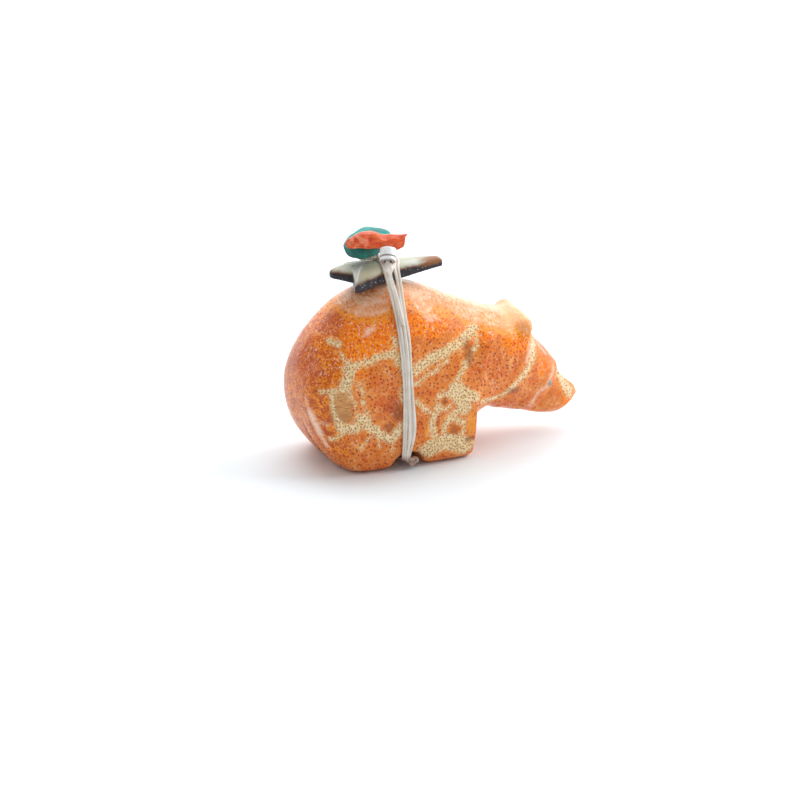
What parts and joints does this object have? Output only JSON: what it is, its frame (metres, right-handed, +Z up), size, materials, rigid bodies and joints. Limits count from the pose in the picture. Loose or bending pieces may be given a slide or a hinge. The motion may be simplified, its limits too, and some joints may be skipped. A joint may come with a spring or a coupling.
{
  "type": "coral bear carving",
  "caption": "Small carved coral bear with a lowered head and flat feet, and a bundle of shell arrowhead, turquoise, coral chip and beads tied on its back with sinew.",
  "frame": {"origin": "on the ground plane under the middle of the whole figure's box", "axes": "+X from the rump to the nose, +Y to the bear's left flank, +Z up"},
  "size_m": [0.053, 0.0242, 0.0407],
  "materials": {
    "sponge_coral": "polished porous coral, orange with cream veins full of dark pores",
    "turquoise": "polished blue-green stone, paler on its upper rim",
    "banded_shell": "polished shell, cream on top and running through brown to black at its lower edge",
    "red_coral": "polished orange-red coral with fine lengthwise grain",
    "white_shell": "smooth white shell with thin brown rims",
    "sinew": "waxed fibres, whitish and slightly translucent"
  },
  "bodies": {
    "root": {"bear": "sponge_coral", "eye_right": "turquoise", "eye_left": "turquoise", "arrowhead": "banded_shell", "turquoise_nugget": "turquoise", "coral_chip": "red_coral", "shell_bead_upper": "white_shell", "shell_bead_lower": "white_shell", "sinew_tie": "sinew"}
  },
  "joints": []
}
